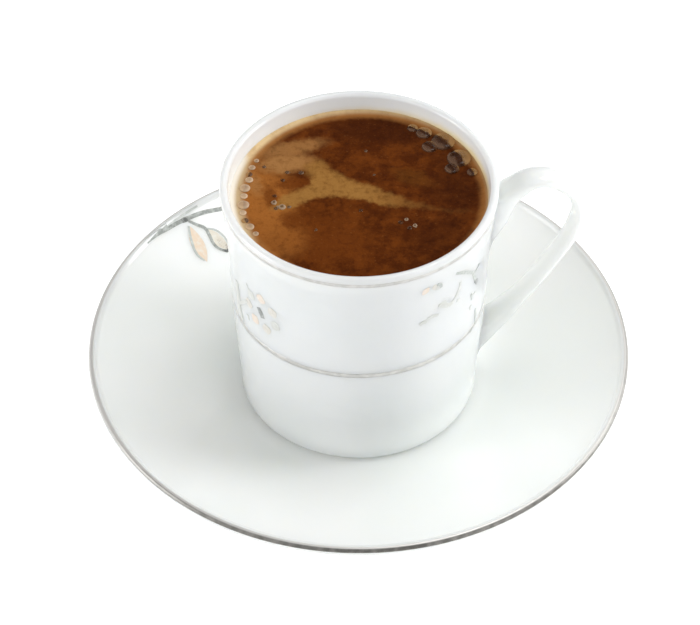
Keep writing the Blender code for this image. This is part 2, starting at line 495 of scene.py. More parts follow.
# %% Saucer
SAUCER_RADIUS = saucer_high.x
SAUCER_HEIGHT = saucer_high.z
EDGE_THICKNESS = 2.2 * MM
EDGE_TILT = 25.0
WELL_RADIUS = 29.0 * MM
WELL_HEIGHT = 4.6 * MM
WELL_THICKNESS = 3.0 * MM
RISE_POWER = 1.45
FOOT_OUTER = 34.0 * MM
FOOT_INNER = 30.5 * MM
FOOT_ROUND = 0.5 * MM
FOOT_CORNER = 0.4 * MM
FOOT_BLEND = 2.0 * MM
WELL_RINGS = 12
RISE_RINGS = 48
EDGE_RINGS = 18
UNDER_RINGS = 32
FLOOR_RINGS = 8
TURN_STEPS = 256


def rim_share(radius):
    """How far a radius lies from the well, 0, to the edge, 1."""
    return max(0.0, (radius - WELL_RADIUS) / (SAUCER_RADIUS - WELL_RADIUS))


def saucer_rise(radius):
    """Height of the saucer's upper face, flat in the well."""
    return WELL_HEIGHT + (SAUCER_HEIGHT - WELL_HEIGHT) * rim_share(radius) ** RISE_POWER


def saucer_underside(radius):
    thickness = WELL_THICKNESS + (EDGE_THICKNESS - WELL_THICKNESS) * rim_share(radius)
    return saucer_rise(radius) - thickness


def around_edge(start, end, count):
    """Points round the saucer's edge, between two angles above level."""
    radius = EDGE_THICKNESS / 2
    return arc((SAUCER_RADIUS - radius, SAUCER_HEIGHT - radius), radius, start, end, count)


def saucer_outline():
    last_rise = SAUCER_RADIUS - EDGE_THICKNESS / 2
    rings = spread(0.0, WELL_RADIUS, WELL_RINGS) + spread(WELL_RADIUS, last_rise, RISE_RINGS)[1:-1]
    top = [(radius, saucer_rise(radius)) for radius in rings]
    edge = around_edge(90.0 + EDGE_TILT, EDGE_TILT - 90.0, EDGE_RINGS)
    rings = spread(last_rise, FOOT_OUTER, UNDER_RINGS)[1:-1]
    below = [(radius, saucer_underside(radius)) for radius in rings]
    bottom = WELL_HEIGHT - WELL_THICKNESS
    foot = rounded([
        (*below[-1], 0.0),
        (FOOT_OUTER, saucer_underside(FOOT_OUTER), FOOT_CORNER),
        (FOOT_OUTER, 0.0, FOOT_ROUND),
        (FOOT_INNER, 0.0, FOOT_ROUND),
        (FOOT_INNER - FOOT_ROUND, bottom, FOOT_CORNER),
        (FOOT_INNER - FOOT_BLEND, bottom, 0.0),
    ])
    floor = [(radius, bottom) for radius in spread(FOOT_INNER - FOOT_BLEND, 0.0, FLOOR_RINGS)[1:]]
    return top + edge + below + foot[1:] + floor


saucer = turn_on_lathe("saucer_porcelain", saucer_outline(), TURN_STEPS, glaze)

# %% [markdown]
# The cup's wall is nearly straight at the foot and flares to the lip. Its outer line is
# two Bezier curves that meet at the waist. The inner line follows it a little closer to
# the axis, so the wall thins towards the lip, as a cast cup's does.

# %% Cup wall
STAND_HEIGHT = cup_low.z
LIP_HEIGHT = cup_high.z
LIP_RADIUS = -cup_low.x
WAIST = (27.85 * MM, 38.0 * MM)
BASE_RADIUS = 26.15 * MM
BASE_CORNER = 1.0 * MM
LIP_PULL = (-0.8 * MM, -6.0 * MM)
WAIST_PULL = (0.15 * MM, 12.0 * MM)
BASE_PULL = (0.35 * MM, 11.0 * MM)
WALL_AT_LIP = 1.85 * MM
WALL_AT_BASE = 2.6 * MM
BASE_THICKNESS = 3.4 * MM
CUP_RECESS = 1.0 * MM
CUP_FOOT_WIDTH = 2.2 * MM
RECESS_CORNER = 0.35 * MM
INNER_CORNER = 7.0 * MM
WALL_POINTS = 26
TOP_GAP = 0.05 * MM
LIP_RINGS = 16
CORNER_RINGS = 8
INNER_RINGS = 12


def bezier(start, start_pull, end_pull, end, count):
    """Points on a cubic curve. Each pull is the way from an end to its handle."""
    first = Vector(start)
    last = Vector(end)
    points = interpolate_bezier(first, first + Vector(start_pull), last + Vector(end_pull), last, count + 1)
    return [tuple(point) for point in points]


def wall_line():
    """The wall's outer line, from under the lip down to the base corner."""
    lip = (LIP_RADIUS, LIP_HEIGHT - WALL_AT_LIP / 2)
    base = (BASE_RADIUS, STAND_HEIGHT + BASE_CORNER)
    below_waist = (-WAIST_PULL[0], -WAIST_PULL[1])
    flare = bezier(lip, LIP_PULL, WAIST_PULL, WAIST, WALL_POINTS)
    return flare + bezier(WAIST, below_waist, BASE_PULL, base, WALL_POINTS)[1:]


WALL = wall_line()


def outer_radius(height):
    for (upper_r, upper_z), (lower_r, lower_z) in zip(WALL, WALL[1:]):
        if height >= lower_z:
            share = min(1.0, (height - lower_z) / (upper_z - lower_z))
            return lower_r + (upper_r - lower_r) * share
    return WALL[-1][0]


def inner_radius(height):
    share = (height - STAND_HEIGHT) / (LIP_HEIGHT - STAND_HEIGHT)
    return outer_radius(height) - (WALL_AT_BASE + (WALL_AT_LIP - WALL_AT_BASE) * share)


CUP_FLOOR = STAND_HEIGHT + CUP_RECESS + BASE_THICKNESS


def hollow_line(clearance, top):
    """The hollow's outline from the axis up its wall, shrunk by a clearance."""
    floor = CUP_FLOOR + clearance
    wall_foot = floor + INNER_CORNER
    corner_radius = inner_radius(wall_foot) - clearance
    corner_centre = corner_radius - INNER_CORNER
    line = [(radius, floor) for radius in spread(0.0, corner_centre, FLOOR_RINGS)[:-1]]
    line += arc((corner_centre, wall_foot), INNER_CORNER, -90.0, 0.0, INNER_RINGS)
    heights = [z for _, z in reversed(WALL) if wall_foot < z < top - TOP_GAP]
    return line + [(inner_radius(height) - clearance, height) for height in heights + [top]]


def cup_outline():
    lip_round = WALL_AT_LIP / 2
    lip_centre = (LIP_RADIUS - lip_round, LIP_HEIGHT - lip_round)
    inside = hollow_line(0.0, lip_centre[1])[:-1]
    lip = arc(lip_centre, lip_round, 180.0, 0.0, LIP_RINGS)
    corner_centre = (BASE_RADIUS - BASE_CORNER, STAND_HEIGHT + BASE_CORNER)
    corner = arc(corner_centre, BASE_CORNER, 0.0, -90.0, CORNER_RINGS)[1:]
    foot_inner = corner_centre[0] - CUP_FOOT_WIDTH
    recess_edge = foot_inner - 3 * CUP_RECESS
    recess = STAND_HEIGHT + CUP_RECESS
    under = rounded([
        (*corner[-1], 0.0),
        (foot_inner, STAND_HEIGHT, RECESS_CORNER),
        (foot_inner - CUP_RECESS, recess, RECESS_CORNER),
        (recess_edge, recess, 0.0),
    ])
    floor = [(radius, recess) for radius in spread(recess_edge, 0.0, FLOOR_RINGS)[1:]]
    return inside + lip + WALL[1:] + corner + under[1:] + floor


cup_wall = turn_on_lathe("cup_porcelain", cup_outline(), TURN_STEPS, glaze)

# %% [markdown]
# The handle is an ear-shaped strap, oval in section, whose roots swell into the wall. It
# follows a path, so a tree sweeps an oval along a Bezier line. Each point of the line is
# x, z and how much the strap swells there. The sweep also stores each section's middle,
# which the handle's roots need later.

# %% Handle sweep
HANDLE_LINE = (
    (22.0, 43.5, 3.0),
    (28.6, 52.8, 2.2),
    (33.0, 59.1, 1.3),
    (38.0, 61.9, 1.0),
    (43.5, 59.8, 1.0),
    (46.8, 54.6, 1.0),
    (46.4, 47.6, 1.0),
    (42.2, 38.3, 1.0),
    (35.8, 27.8, 1.0),
    (30.2, 20.6, 1.4),
    (24.0, 15.0, 2.4),
)
HANDLE_THICKNESS = 3.0 * MM
HANDLE_WIDTH = 5.8 * MM
ROOT_SPREAD = 0.35
HANDLE_RINGS = 280
HANDLE_SIDES = 40
HANDLE_CURVE_STEPS = 24


def strap_tree():
    tree, bench, given = new_tree("strap", [
        ("Thickness", "Float"), ("Width", "Float"), ("Root spread", "Float"),
        ("Rings", "Int"), ("Sides", "Int"), ("Finish", "Material"),
    ])
    line = bench.add("GeometryNodeResampleCurve", {}, {"Curve": given["Geometry"], "Count": given["Rings"]})
    line = with_place(bench, line, "middle")
    section = bench.add("GeometryNodeCurvePrimitiveCircle", {}, {
        "Resolution": given["Sides"],
        "Radius": given["Thickness"] / 2,
    })
    tube = bench.add("GeometryNodeCurveToMesh", {}, {
        "Curve": line,
        "Profile Curve": section,
        "Scale": bench.add("GeometryNodeInputRadius"),
        "Fill Caps": True,
    })
    x, y, z = [split(bench, position(bench), axis) for axis in "XYZ"]
    wide = y * given["Width"] / given["Thickness"]
    half = given["Width"] / 2
    reach = wide.size().at_most(half) + (wide.size() - half).at_least(0.0) * given["Root spread"]
    oval = moved_to(bench, tube, joined(bench, X=x, Y=wide.maths("SIGN", wide) * reach, Z=z))
    end_tree(bench, smoothed(bench, oval), given["Finish"])
    return tree


def handle_curve():
    curve = bpy.data.curves.new("handle_line", "CURVE")
    curve.dimensions = "3D"
    curve.resolution_u = HANDLE_CURVE_STEPS
    spline = curve.splines.new("BEZIER")
    spline.bezier_points.add(len(HANDLE_LINE) - 1)
    for point, (x, z, swell) in zip(spline.bezier_points, HANDLE_LINE):
        point.co = (x * MM, 0.0, z * MM)
        point.radius = swell
        point.handle_left_type = "AUTO"
        point.handle_right_type = "AUTO"
    line = bpy.data.objects.new("handle_line", curve)
    bpy.context.scene.collection.objects.link(line)
    return line


handle_line = handle_curve()
handle_mesh = run_tree(handle_line, strap_tree(), {
    "Thickness": HANDLE_THICKNESS,
    "Width": HANDLE_WIDTH,
    "Root spread": ROOT_SPREAD,
    "Rings": HANDLE_RINGS,
    "Sides": HANDLE_SIDES,
    "Finish": glaze,
})
drop(handle_line)
print("handle sweep reaches x", round(max(v.co.x for v in handle_mesh.vertices) / MM, 1), "mm")

# %% [markdown]
# A maker sticks the handle on with slip, which leaves a small hollow fillet round each
# root. A Boolean and a bevel could make it, but their edges pinch on a curved wall. Here
# every point of the sweep that comes close to the wall moves away from its section's
# middle, along the wall, by what a round fillet would need. What lies deeper is held just
# under the glaze, so nothing pokes through on the inside.

# %% Handle roots
FILLET = 1.3 * MM
ROOT_DEPTH = 0.6 * MM
ROOT_SLOPE = 0.4
NEAR_AXIS = 1.0 * MM
NEAR_MIDDLE = 0.1 * MM


def blend_root(point, middle):
    """Where a point of the sweep goes, so that it flows into the wall."""
    flat = Vector((point.x, point.y, 0.0))
    outward = flat.normalized()
    gap = flat.length - outer_radius(point.z)
    if gap >= FILLET or flat.length < NEAR_AXIS:
        return point
    away = point - middle
    away -= outward * away.dot(outward)
    lift = FILLET - max(0.0, gap)
    under = max(0.0, -gap)
    widening = FILLET - math.sqrt(max(0.0, FILLET ** 2 - lift ** 2)) + under
    if away.length > NEAR_MIDDLE:
        point = point + away.normalized() * widening
    outward = Vector((point.x, point.y, 0.0)).normalized()
    radius = outer_radius(point.z) + max(0.0, gap) - min(ROOT_SLOPE * under, ROOT_DEPTH)
    return Vector((outward.x * radius, outward.y * radius, point.z))


def blend_roots(mesh):
    middles = mesh.attributes["middle"].data
    moved = 0
    for corner, middle in zip(mesh.vertices, middles):
        place = blend_root(corner.co.copy(), Vector(middle.vector))
        moved += (place - corner.co).length > 0
        corner.co = place
    mesh.attributes.remove(mesh.attributes["middle"])
    return moved


print(blend_roots(handle_mesh), "points flow into the wall")


def join_meshes(name, meshes):
    """One plain mesh from several closed ones."""
    cage = bmesh.new()
    for mesh in meshes:
        cage.from_mesh(mesh)
    whole = bpy.data.meshes.new(name)
    cage.to_mesh(whole)
    cage.free()
    return whole


face_outwards(handle_mesh)
cup_mesh = join_meshes("cup_and_handle", [cup_wall.data, handle_mesh])
cup_mesh.materials.append(glaze)
cup = link_piece("cup_and_handle", cup_mesh)
print("cup with handle has", triangles(cup_mesh), "triangles")

# %% [markdown]
# Thin platinum lines ring the saucer's edge, the cup's lip and its waist. They are painted
# on and fired, so they are a few hundredths of a millimetre thick and follow the glaze. The
# saucer's line has a painted pale sheen, standing in for reflected light, on its upper face
# and most of all at the back; the noise between its two tones is wear. A material mask could
# draw them. A thin closed strip over the same outline keeps a crisp edge at any distance,
# and the lathe turns it like everything else. The edge line is given by two angles round the
# saucer's edge, and each line on the cup by its height and its width.


# %% Platinum lines
LINE_LIFT = 0.010 * MM
LINE_SINK = 0.05 * MM
EDGE_LINE = (84.0, 16.0)
EDGE_LINE_RINGS = 10
LIP_LINE = (61.9 * MM, 0.95 * MM)
WAIST_LINE = (33.5 * MM, 1.15 * MM)
BAND_RINGS = 4
RIM_TONES = (rgb(0.15, 0.145, 0.13), rgb(0.27, 0.26, 0.24))
CUP_TONES = (rgb(0.57, 0.56, 0.535), rgb(0.72, 0.705, 0.68))
# Painted sheen: the pale colour that stands in for light the rim's metal reflects.
SHEEN_PLATINUM = rgb(0.72, 0.70, 0.67)
CREST_RADII = (59.30, 59.55)
BACK_FADE = (-50.0, -12.0)
SIDE_FADE = (20.0, 50.0)
BRUSH_DEPTH = 0.02 * MM


def platinum(name, dark, light, sheen_share):
    """Fired platinum between two tones, with a painted pale sheen by a share on the saucer's upper face and
    back.
    """
    material, bench = new_finish(name)
    place = place_in_mm(bench)
    wear = noise(bench, place, 0.5, 4.0)
    colour = bench.mix(wear.step(0.3, 0.7), dark, light)
    # Painted sheen: paler on the rim's upper face and towards the back, standing in for reflected light.
    back = split(bench, place, "Y").step(*BACK_FADE)
    side = split(bench, place, "X").step(*SIDE_FADE)
    crest = from_axis(bench, place).step(*CREST_RADII)
    sheen_free = crest * (1 - 0.8 * back * (1 - 0.5 * side))
    colour = bench.mix(sheen_share * (1 - sheen_free), colour, SHEEN_PLATINUM)
    finish_shader(bench, {
        "Base Color": colour,
        "Metallic": 0.45,
        "Roughness": 0.28 + 0.2 * wear,
        "Normal": bump(bench, 0.2, BRUSH_DEPTH, noise(bench, place, 3.0)),
    })
    return material


def strip_outline(host):
    """A thin closed outline that lies over part of a host outline."""
    outer = []
    inner = []
    for index, (radius, height) in enumerate(host):
        before = Vector(host[max(0, index - 1)])
        after = Vector(host[min(len(host) - 1, index + 1)])
        along = (after - before).normalized()
        outward = Vector((-along.y, along.x))
        here = Vector((radius, height))
        outer.append(tuple(here + outward * LINE_LIFT))
        inner.append(tuple(here - outward * LINE_SINK))
    return outer + inner[::-1] + outer[:1]


def wall_band(middle, width):
    """Points across a band of the cup's wall, from its top down."""
    heights = spread(middle + width / 2, middle - width / 2, BAND_RINGS)
    return [(outer_radius(height), height) for height in heights]


edge_band = around_edge(*EDGE_LINE, EDGE_LINE_RINGS)
rim_paint = platinum("rim_platinum", *RIM_TONES, 1.0)
cup_paint = platinum("cup_platinum", *CUP_TONES, 0.0)
rim_line = turn_on_lathe("saucer_rim_line", strip_outline(edge_band), TURN_STEPS, rim_paint)
lip_line = turn_on_lathe("cup_lip_line", strip_outline(wall_band(*LIP_LINE)), TURN_STEPS, cup_paint)
waist_line = turn_on_lathe("cup_waist_line", strip_outline(wall_band(*WAIST_LINE)), TURN_STEPS, cup_paint)

# %% [markdown]
# The coffee fills the cup to a few millimetres under the lip. Its top is a skin of fine
# foam that creeps up the wall. It is turned on the same lathe, with close rings near the
# wall, and then a second tree lifts its upper face by slow and fine noise, so the skin is
# never a perfect plane. Its side reaches a tenth of a millimetre into the wall, so no gap
# of air shows between drink and cup.

# %% Coffee body
MENISCUS_HEIGHT = 0.5 * MM
MENISCUS_WIDTH = 1.4 * MM
MENISCUS_POWER = 2.2
COFFEE_LEVEL = coffee_high.z - MENISCUS_HEIGHT
COFFEE_RADIUS = inner_radius(COFFEE_LEVEL)
WALL_REACH = 0.1 * MM
SKIN_EDGE = 0.2 * MM
EDGE_SKIN_RINGS = 10
SKIN_RINGS = 60
SLOW_RELIEF = 0.16 * MM
SLOW_SCALE = 160.0
FINE_RELIEF = 0.05 * MM
FINE_SCALE = 900.0
RELIEF_SEED = 3.0
SEED_STEP = 7.0


def skin_height(radius):
    """The skin is level, then curls up where it wets the wall."""
    share = max(0.0, 1 - (COFFEE_RADIUS - radius) / MENISCUS_WIDTH)
    return COFFEE_LEVEL + MENISCUS_HEIGHT * share ** MENISCUS_POWER


def coffee_outline():
    side = hollow_line(-WALL_REACH, coffee_high.z)
    flat_edge = COFFEE_RADIUS - MENISCUS_WIDTH
    radii = spread(side[-1][0], flat_edge, EDGE_SKIN_RINGS)[1:] + spread(flat_edge, 0.0, SKIN_RINGS)[1:]
    return side + [(radius, skin_height(min(radius, COFFEE_RADIUS))) for radius in radii]


def relief_noise(bench, seed, scale, detail):
    """Noise about 0, with a seed as its fourth coordinate."""
    sockets = {"Vector": position(bench), "W": seed, "Scale": scale, "Detail": detail}
    return bench.add("ShaderNodeTexNoise", {"noise_dimensions": "4D"}, sockets) - 0.5


def relief_tree():
    tree, bench, given = new_tree("foam_relief", [
        ("Level", "Float"), ("Slow relief", "Float"), ("Fine relief", "Float"),
        ("Seed", "Float"), ("Finish", "Material"),
    ])
    on_top = (split(bench, position(bench), "Z") - given["Level"]).step(-SKIN_EDGE, 0.0)
    slow = relief_noise(bench, given["Seed"], SLOW_SCALE, 1.0)
    fine = relief_noise(bench, given["Seed"] + SEED_STEP, FINE_SCALE, 2.0)
    rise = slow * given["Slow relief"] + fine * given["Fine relief"]
    sockets = {"Geometry": given["Geometry"], "Offset": joined(bench, Z=rise * on_top)}
    shape = bench.add("GeometryNodeSetPosition", {}, sockets)
    end_tree(bench, shape, given["Finish"])
    return tree


# %% [markdown]
# Turkish coffee is not filtered, so its foam is a fine brown mousse. In the picture it is
# nearly black at the back and reddish brown at the front, with a paler ochre drift across
# it, an orange-brown edge on the left, and a straw-coloured halo where the film thins over
# white porcelain. A photo texture could carry that. Here each of these is a mask in the
# piece's own millimetres, warped by noise so that no edge is ruled. Each patch is a colour,
# its strength, a middle, a reach both ways and a turn in degrees. Each band along the wall
# is two distances from it, where its colour starts and where it is full.


# %% Coffee foam finish
FOAM_DEEP = rgb(0.053, 0.0100, 0.0008)
FOAM_BROWN = rgb(0.080, 0.0160, 0.0010)
FOAM_RED = rgb(0.155, 0.0370, 0.0035)
FOAM_OLIVE = rgb(0.145, 0.0480, 0.0060)
FOAM_AMBER = rgb(0.420, 0.1450, 0.0270)
FOAM_TAN = rgb(0.390, 0.1800, 0.0560)
FOAM_OCHRE = rgb(0.360, 0.1700, 0.0400)
FOAM_SHORE = rgb(0.360, 0.1500, 0.0420)
FOAM_HALO = rgb(0.720, 0.5300, 0.2900)
FOAM_FILM = rgb(0.580, 0.4300, 0.2500)
FOAM_CREAM = rgb(0.820, 0.7600, 0.6600)
DARKER = (0.70, 0.66, 0.60)
SURFACE_SPAN = 54.0
DRIFT_TOP = (
    (-27.0, -4.0), (-19.0, -0.8), (-16.7, 1.4), (-12.5, 3.6), (-10.4, 5.4), (-9.2, 7.6), (-7.0, 8.9),
    (-4.2, 8.2), (-1.4, 6.1), (3.6, 2.9), (9.0, -0.9), (12.5, -3.0), (17.0, -4.8), (27.0, -7.2),
)
DRIFT_FOOT = (
    (-27.0, -5.0), (-19.0, -2.7), (-16.5, -2.4), (-13.5, -1.9), (-11.0, -0.5), (-5.0, 0.5), (-0.7, -0.6),
    (3.0, -2.6), (5.2, -4.0), (9.0, -4.3), (12.5, -4.9), (17.0, -5.9), (27.0, -7.8),
)
FOAM_PATCHES = (
    (FOAM_DEEP, 0.80, (5.0, 20.5), (15.0, 6.5), -10.0),
    (FOAM_DEEP, 0.60, (19.5, 0.5), (8.0, 8.5), 30.0),
    (FOAM_DEEP, 0.50, (15.0, -12.0), (10.0, 5.0), 35.0),
    (FOAM_RED, 0.80, (-8.0, -12.0), (14.0, 9.0), -20.0),
    (FOAM_OLIVE, 0.45, (12.0, 4.8), (6.5, 3.0), -35.0),
    (FOAM_AMBER, 0.85, (-20.5, 1.0), (9.0, 15.0), 0.0),
    (FOAM_AMBER, 0.50, (-18.0, -12.0), (8.5, 8.0), 40.0),
    (FOAM_TAN, 0.75, (-13.0, 16.2), (9.5, 3.4), 12.0),
    (FOAM_TAN, 0.95, (-14.6, 11.4), (8.0, 3.6), 3.0),
    (FOAM_OCHRE, 0.80, (-8.6, 9.2), (3.6, 3.4), 0.0),
    (FOAM_TAN, 0.60, (-21.6, 5.6), (2.2, 4.8), 0.0),
    (FOAM_RED, 0.80, (-14.2, 5.2), (5.4, 2.2), 8.0),
    (FOAM_RED, 0.75, (-18.9, 1.4), (1.9, 4.4), 10.0),
    (FOAM_RED, 0.80, (-14.8, -5.8), (2.8, 3.6), 25.0),
)


def as_curve(points):
    """Points in millimetres as a curve on 0 to 1, for a Float Curve node."""
    return [(x / SURFACE_SPAN + 0.5, y / SURFACE_SPAN + 0.5) for x, y in points]


def surface_line(bench, x, points):
    """The y, in millimetres, of a drawn line at each x."""
    along = x / SURFACE_SPAN + 0.5
    line = bench.add("ShaderNodeFloatCurve", {"curve": as_curve(points)}, {"Value": along})
    return (line - 0.5) * SURFACE_SPAN


def patch(bench, place, middle, reach, turn):
    """A soft oval spot: 1 in its middle, 0 outside its reach."""
    local = bench.add("ShaderNodeMapping", {"vector_type": "TEXTURE"}, {
        "Vector": place,
        "Location": (*middle, 0.0),
        "Rotation": (0.0, 0.0, math.radians(turn)),
        "Scale": (*reach, 1.0),
    })
    return 1 - length_of(bench, local).step(0.35, 1.05)


SWIRL = (0.13, 3.0, 0.55)
SWIRL_REACH = 3.0
RIPPLE = (0.75, 3.0, 0.6)
RIPPLE_REACH = 2.2
DRIFT_START = (-20.0, -17.0)
DRIFT_FADE = (-1.0, 15.0)
DRIFT_LOSS = 0.78
HALO_SHIFT = 0.25
HALO_SLANT = 0.028
SHORE_BAND = (3.0, 1.1)
HALO_BAND = (1.8, 0.2)
FILM_BAND = (3.4, 1.4)
CREAM_BAND = (1.5, 0.2)
LEFT_BAND = (21.5, 24.6)
PORE_SCALE = 2.6
PORE_DEPTH = 0.12 * MM


def drifting(bench, place, kind, reach):
    """A vector that wanders by noise about 0, up to half a reach each way."""
    wander = bench.vector("ADD", noise(bench, place, *kind, "Color"), (-0.5, -0.5, -0.5))
    return scaled(bench, wander, reach)


def near_wall(radius, band):
    """A soft step from 0 to 1 between two distances from the wall."""
    return radius.step(COFFEE_RADIUS / MM - band[0], COFFEE_RADIUS / MM - band[1])


def foam_finish():
    material, bench = new_finish("coffee_foam")
    place = place_in_mm(bench)
    level = flattened(bench, place)
    radius = from_axis(bench, place)
    slow = bench.vector("ADD", level, drifting(bench, place, SWIRL, SWIRL_REACH))
    warped = bench.vector("ADD", slow, drifting(bench, place, RIPPLE, RIPPLE_REACH))
    warped = flattened(bench, warped)
    x = split(bench, warped, "X")
    y = split(bench, warped, "Y")

    clouds = noise(bench, place, 0.30, 5.0, 0.60)
    mottle = noise(bench, place, 0.85, 4.0, 0.55)
    grain = noise(bench, place, 2.2, 3.0, 0.6)
    colour = bench.mix(clouds.step(0.36, 0.68), FOAM_BROWN, FOAM_RED)
    for tint, strength, middle, reach, turn in FOAM_PATCHES:
        colour = bench.mix(strength * patch(bench, warped, middle, reach, turn), colour, tint)

    top = (surface_line(bench, x, DRIFT_TOP) - y).step(-0.9, 1.4)
    foot = (y - surface_line(bench, x, DRIFT_FOOT)).step(-0.6, 0.9)
    fade = x.step(*DRIFT_START) * (1 - DRIFT_LOSS * x.step(*DRIFT_FADE))
    colour = bench.mix(top * foot * fade * (0.75 + 0.3 * mottle), colour, FOAM_OCHRE)

    shade = 0.72 * mottle.step(0.30, 0.52) + 0.28 * grain.step(0.32, 0.6)
    colour = bench.mix(shade, bench.vector("MULTIPLY", colour, DARKER), colour)
    flecks = grain.step(0.60, 0.74) * mottle.step(0.42, 0.6)
    colour = bench.mix(0.22 * flecks, colour, FOAM_TAN)

    patchy = 0.70 + 0.30 * clouds.step(0.3, 0.6)
    edge = radius - (HALO_SHIFT + split(bench, level, "X") * HALO_SLANT)
    colour = bench.mix(near_wall(edge + 0.5 * mottle, SHORE_BAND) * patchy, colour, FOAM_SHORE)
    colour = bench.mix(near_wall(edge, HALO_BAND) ** 1.3 * patchy, colour, FOAM_HALO)
    left_side = (0 - split(bench, slow, "X")).step(*LEFT_BAND)
    colour = bench.mix(0.85 * left_side * near_wall(radius, FILM_BAND), colour, FOAM_FILM)
    colour = bench.mix(left_side * near_wall(radius, CREAM_BAND), colour, FOAM_CREAM)

    pores = bench.add("ShaderNodeTexVoronoi", {"feature": "F1"}, {"Vector": place, "Scale": PORE_SCALE})
    finish_shader(bench, {
        "Base Color": colour,
        "Roughness": 0.36 + 0.25 * grain,
        "Specular IOR Level": 0.03,
        "Normal": bump(bench, 0.5, PORE_DEPTH, grain * 0.5 + pores * 0.5),
    })
    return material


coffee_foam = foam_finish()
coffee_flat = turn_on_lathe("coffee_flat", coffee_outline(), TURN_STEPS, coffee_foam)
coffee_mesh = run_tree(coffee_flat, relief_tree(), {
    "Level": COFFEE_LEVEL,
    "Slow relief": SLOW_RELIEF,
    "Fine relief": FINE_RELIEF,
    "Seed": RELIEF_SEED,
    "Finish": coffee_foam,
})
drop(coffee_flat)
coffee = link_piece("coffee_foam", coffee_mesh)
print("coffee skin lies at", round(COFFEE_LEVEL / MM, 2), "mm")

# %% [markdown]
# Bigger bubbles gather where the pour met the wall. Each is a dome of thin film, whose colour
# is painted: the dark drink in its middle, a painted reflection of pale porcelain towards
# the wall, and a painted reflection of a grey sky away from it. A row of bubbles with a
# painted whitish highlight lines the left wall. Each row below is x, y and radius in
# millimetres, and how pale the film is painted. A tree sets one dome on each point and
# scales it to the point's own radius, so a hundred bubbles cost one small shape.
# The few large ones get a finer dome than the small ones.

# %% Bubbles
BUBBLE_SEED = 11
LARGE_BUBBLES = (
    (19.6, 15.7, 2.7, 0.0),
    (22.4, 10.1, 2.7, 0.0),
    (16.5, 14.3, 1.8, 0.0),
    (20.5, 7.0, 1.6, 0.0),
    (15.7, 18.8, 1.8, 0.0),
    (13.4, 20.6, 1.2, 0.0),
    (24.7, 5.6, 1.2, 0.0),
)
LEFT_BUBBLES = (
    (-22.7, 8.8, 0.75, 0.0),
    (-22.8, 7.1, 0.90, 0.8),
    (-23.9, 4.6, 1.25, 0.7),
    (-24.2, 2.2, 0.85, 0.9),
    (-24.5, -0.5, 1.35, 0.65),
    (-24.7, -2.9, 0.80, 0.9),
    (-24.4, -5.3, 0.80, 0.0),
    (-23.5, -7.2, 1.00, 0.7),
    (-22.4, -9.4, 0.70, 0.65),
    (-22.0, 10.9, 0.80, 0.65),
    (-20.9, 13.0, 0.60, 0.6),
)
SMALL_BUBBLES = (
    (-16.4, -1.8, 0.85, 0.5),
    (-18.0, -0.3, 0.65, 0.5),
    (-17.7, -2.1, 0.50, 0.1),
    (-14.9, -1.9, 0.45, 0.2),
    (-17.7, 1.7, 0.45, 0.0),
    (-11.6, 8.4, 0.55, 0.1),
    (-14.6, 8.8, 0.50, 0.1),
    (-15.7, 6.4, 0.50, 0.0),
    (-19.4, 10.9, 0.45, 0.1),
    (0.0, -4.2, 0.45, 0.0),
    (8.0, -8.5, 0.55, 0.0),
    (9.7, -10.4, 0.55, 0.0),
    (9.3, -7.7, 0.45, 0.45),
    (10.9, -9.7, 0.50, 0.45),
    (-9.8, -9.3, 0.35, 0.1),
    (2.7, 14.1, 0.40, 0.1),
    (3.8, 6.5, 0.30, 0.1),
)
DOME_HEIGHT = 0.33
LARGE_SIDES = 32
SMALL_SIDES = 14
SATELLITES = 2
SATELLITE_PLACE = (0.95, 1.35)
SATELLITE_SIZE = (0.14, 0.30)
WALL_GAP = 0.4
# Painted reflections and highlight: grey sky, pale porcelain by the wall, and a pale painted highlight.
PAINTED_SKY_REFLECTION = rgb(0.175, 0.100, 0.062)
FILM_DARK = rgb(0.045, 0.016, 0.006)
FILM_BROWN = rgb(0.110, 0.042, 0.014)
PAINTED_WALL_REFLECTION = rgb(0.500, 0.280, 0.110)
PAINTED_PALE_HIGHLIGHT = rgb(0.860, 0.640, 0.430)
FILM_PUPIL = rgb(0.070, 0.035, 0.018)
WALL_REFLECTION_RADII = (22.4, 23.8)


def bubble_film():
    material, bench = new_finish("bubble_film")
    place = place_in_mm(bench)
    local = attribute(bench, "local", "Vector")
    pale = attribute(bench, "pale", "Fac")
    outward = bench.vector("NORMALIZE", flattened(bench, place))
    to_wall = bench.add("ShaderNodeVectorMath", {"operation": "DOT_PRODUCT"}, {0: local, 1: outward}, "Value")
    across = from_axis(bench, local)
    patchy = noise(bench, place, 0.9, 3.0)
    ragged = to_wall + 0.8 * (patchy - 0.5)
    wall_reflection_reach = from_axis(bench, place).step(*WALL_REFLECTION_RADII)
    # Painted reflections: grey sky away from the wall, pale porcelain towards it; pale bubbles get a painted
    # highlight.
    tint = bench.mix(ragged.step(-0.65, -0.25), PAINTED_SKY_REFLECTION, FILM_DARK)
    tint = bench.mix(ragged.step(0.05, 0.40), tint, FILM_BROWN)
    tint = bench.mix(ragged.step(-0.10, 0.20) * wall_reflection_reach, tint, PAINTED_WALL_REFLECTION)
    tint = bench.mix(pale, tint, PAINTED_PALE_HIGHLIGHT)
    pupil = (1 - across.step(0.22, 0.50)) * (pale * (1 - pale.step(0.5, 0.6))).step(0.05, 0.3)
    tint = bench.mix(0.85 * pupil, tint, FILM_PUPIL)
    finish_shader(bench, {
        "Base Color": tint,
        "Roughness": 0.14 + 0.1 * patchy,
        "Alpha": (0.50 + 0.30 * across.step(0.30, 0.95)) * (1 - 0.65 * across.step(0.88, 1.02)),
        "Specular IOR Level": 0.15,
    })
    return material


def named(bench, name):
    return bench.add("GeometryNodeInputNamedAttribute", {"data_type": "FLOAT"}, {"Name": name})


